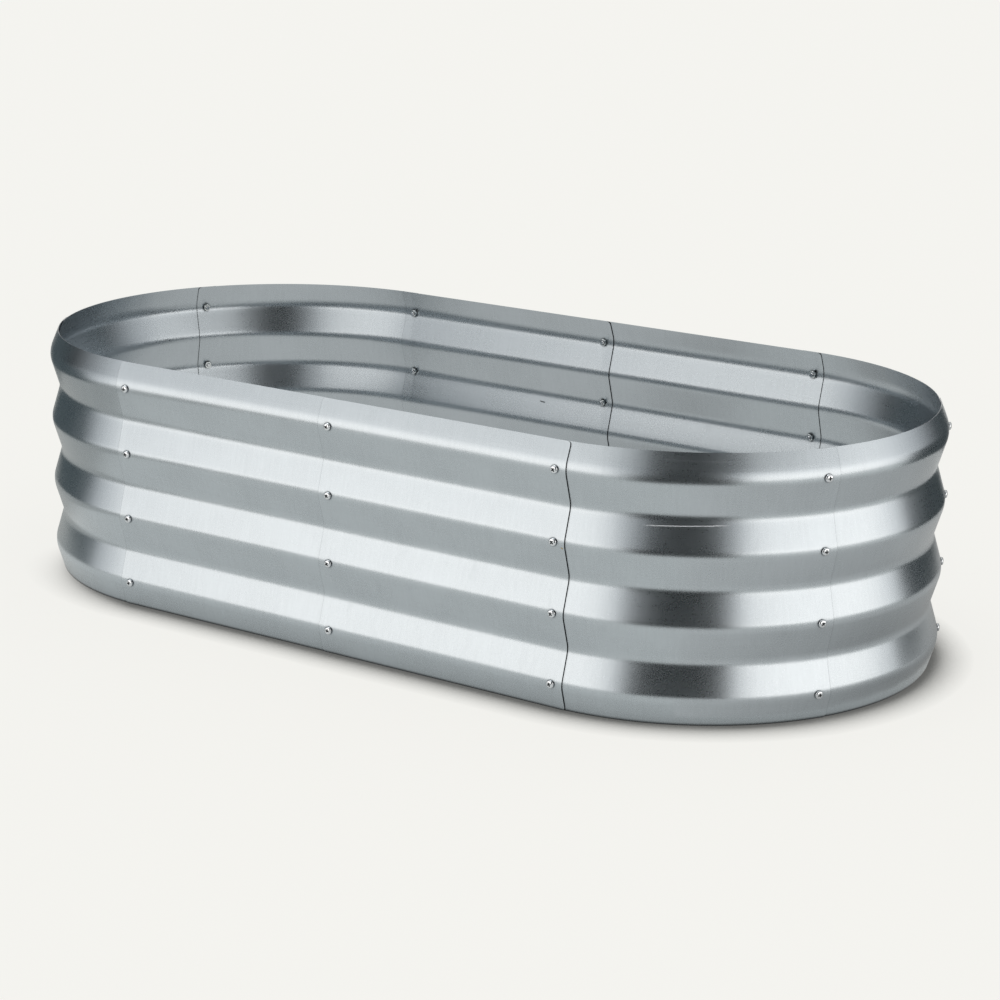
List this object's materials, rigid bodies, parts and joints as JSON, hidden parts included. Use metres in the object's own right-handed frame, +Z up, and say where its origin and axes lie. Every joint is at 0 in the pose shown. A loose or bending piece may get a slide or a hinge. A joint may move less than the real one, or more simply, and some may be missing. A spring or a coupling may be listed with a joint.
{
  "type": "raised garden bed",
  "caption": "Oval raised garden bed of corrugated galvanised sheet panels, lapped and bolted at the wave crests, open at top and bottom.",
  "frame": {"origin": "centre of the oval on the ground, under the bottom edge", "axes": "+X along the bed towards the right end, +Y towards the back, +Z up"},
  "size_m": [1.1846, 0.582, 0.3],
  "materials": {
    "galvanised_sheet": "bare galvanised sheet, soft sheen",
    "zinc_screw": "bright zinc plated",
    "zinc_nut": "bright zinc plated"
  },
  "bodies": {
    "root": {"front_left_panel": "galvanised_sheet", "front_right_panel": "galvanised_sheet", "back_right_panel": "galvanised_sheet", "back_left_panel": "galvanised_sheet", "right_front_corner_panel": "galvanised_sheet", "right_end_panel": "galvanised_sheet", "right_back_corner_panel": "galvanised_sheet", "left_back_corner_panel": "galvanised_sheet", "left_end_panel": "galvanised_sheet", "left_front_corner_panel": "galvanised_sheet", "screws_front_left": "zinc_screw", "screws_front_middle": "zinc_screw", "screws_front_right": "zinc_screw", "screws_right_end_front": "zinc_screw", "screws_right_end_back": "zinc_screw", "screws_back_right": "zinc_screw", "screws_back_middle": "zinc_screw", "screws_back_left": "zinc_screw", "screws_left_end_back": "zinc_screw", "screws_left_end_front": "zinc_screw", "nuts_front_left": "zinc_nut", "nuts_front_middle": "zinc_nut", "nuts_front_right": "zinc_nut", "nuts_right_end_front": "zinc_nut", "nuts_right_end_back": "zinc_nut", "nuts_back_right": "zinc_nut", "nuts_back_middle": "zinc_nut", "nuts_back_left": "zinc_nut", "nuts_left_end_back": "zinc_nut", "nuts_left_end_front": "zinc_nut"}
  },
  "joints": []
}
